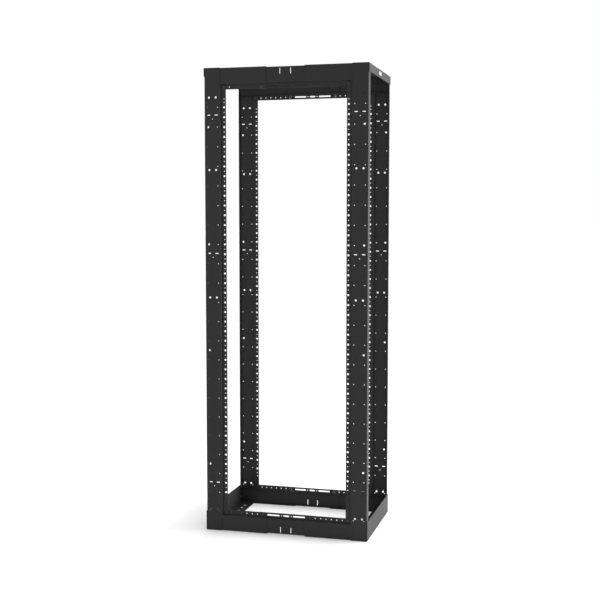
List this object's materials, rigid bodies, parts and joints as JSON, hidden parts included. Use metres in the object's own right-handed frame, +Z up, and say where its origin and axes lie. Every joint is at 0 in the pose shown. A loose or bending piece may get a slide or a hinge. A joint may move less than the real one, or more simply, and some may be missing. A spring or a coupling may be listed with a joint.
{
  "type": "network server rack",
  "caption": "Tall open equipment rack of folded black sheet steel, with punched rails front and rear; its beams telescope over centre sleeves to set the width.",
  "frame": {"origin": "centre of the footprint, on the floor", "axes": "+X to the right seen from the front, +Y from front to rear, +Z up"},
  "size_m": [0.7686, 0.5142, 2.1368],
  "materials": {
    "frame_paint": "black textured powder coat",
    "black_bolt": "black oxide steel, bolts and inner nuts",
    "zinc_nut": "zinc plated",
    "badge_metal": "brushed, blank",
    "badge_band": "matte"
  },
  "bodies": {
    "right_half": {"front_right_post": "frame_paint", "front_right_rail": "frame_paint", "base_front_right_section": "frame_paint", "top_front_right_section": "frame_paint", "rear_right_post": "frame_paint", "rear_right_rail": "frame_paint", "base_rear_right_section": "frame_paint", "top_rear_right_section": "frame_paint", "base_right_panel": "frame_paint", "top_right_rail": "frame_paint", "right_clamp_bolts": "black_bolt", "right_corner_bolts": "black_bolt", "right_clamp_washers": "zinc_nut", "right_side_nuts": "zinc_nut", "right_clamp_nuts": "black_bolt", "right_corner_nuts": "black_bolt", "badge_plate": "badge_metal", "badge_band": "badge_band"},
    "left_half": {"front_left_post": "frame_paint", "front_left_rail": "frame_paint", "base_front_left_section": "frame_paint", "top_front_left_section": "frame_paint", "rear_left_post": "frame_paint", "rear_left_rail": "frame_paint", "base_rear_left_section": "frame_paint", "top_rear_left_section": "frame_paint", "base_left_panel": "frame_paint", "top_left_rail": "frame_paint", "left_clamp_bolts": "black_bolt", "left_corner_bolts": "black_bolt", "left_clamp_washers": "zinc_nut", "left_side_nuts": "zinc_nut", "left_clamp_nuts": "black_bolt", "left_corner_nuts": "black_bolt"},
    "sleeves": {"base_front_sleeve": "frame_paint", "top_front_sleeve": "frame_paint", "base_rear_sleeve": "frame_paint", "top_rear_sleeve": "frame_paint"}
  },
  "joints": [
    {"name": "width_slide", "type": "slide", "parent": "right_half", "child": "left_half", "axis": [1, 0, 0], "range_m": [0, 0.11494]},
    {"name": "sleeve_slide", "type": "slide", "parent": "right_half", "child": "sleeves", "axis": [1, 0, 0], "range_m": [0, 0.05747]}
  ],
  "couplings": [
    {"joint": "sleeve_slide", "follows": "width_slide", "ratio": 0.5}
  ]
}
